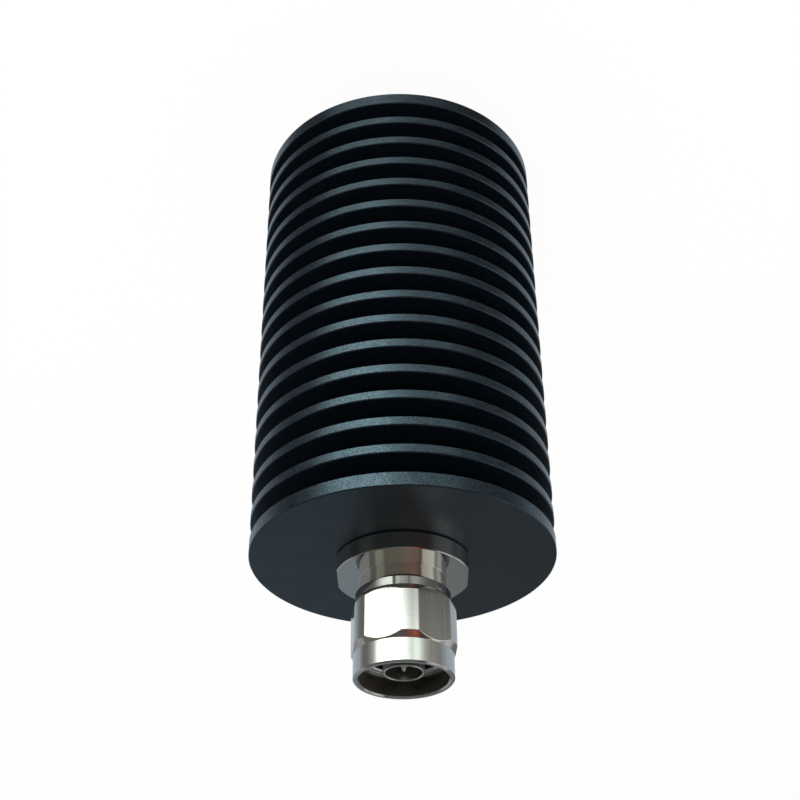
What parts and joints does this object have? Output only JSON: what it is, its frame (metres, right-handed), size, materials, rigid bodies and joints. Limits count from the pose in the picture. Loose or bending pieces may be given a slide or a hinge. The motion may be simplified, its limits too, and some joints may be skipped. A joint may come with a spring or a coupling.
{
  "type": "coaxial attenuator",
  "caption": "Power attenuator for a coaxial line: finned cylindrical heat sink with a threaded coupling plug at one end and a matching jack at the other.",
  "frame": {"origin": "on the axis, at the centre of the jack's end face, which the part stands on", "axes": "+Z along the axis from the jack toward the plug; the flanges' wrench flats face +X and -X"},
  "size_m": [0.0614, 0.0614, 0.1456],
  "materials": {
    "black_anodised": "fine blasted, black anodised",
    "nickel_plate": "turned, bright nickel plate",
    "nut_nickel": "turned and milled, bright nickel plate",
    "silver_plate": "silver plate",
    "ptfe": "smooth white PTFE",
    "silicone": "matt silicone rubber",
    "spring_bronze": "plain phosphor bronze",
    "bare_aluminium": "machined",
    "copper": "machined copper",
    "ceramic_white": "unglazed ceramic",
    "screw_steel": "plain stainless steel"
  },
  "bodies": {
    "attenuator": {"heat_sink": "black_anodised", "plug_flange": "nickel_plate", "plug_body": "nickel_plate", "outer_contact": "nickel_plate", "plug_contact": "silver_plate", "plug_front_bead": "ptfe", "plug_rear_bead": "ptfe", "plug_gasket": "silicone", "retaining_ring": "spring_bronze", "carrier": "bare_aluminium", "chip_flange": "copper", "chip_substrate": "ceramic_white", "chip_lid": "ceramic_white", "input_tab": "silver_plate", "output_tab": "silver_plate", "chip_washers": "screw_steel", "chip_screws": "screw_steel", "jack_flange": "nickel_plate", "jack_body": "nickel_plate", "jack_contact": "silver_plate", "jack_front_bead": "ptfe", "jack_spacer": "nickel_plate", "jack_rear_bead": "ptfe"},
    "nut": {"coupling_nut": "nut_nickel"}
  },
  "joints": [
    {"name": "nut_spin", "type": "hinge", "parent": "attenuator", "child": "nut", "pos_m": [0, 0, 0.1325], "axis": [0, 0, 1], "continuous": true}
  ]
}
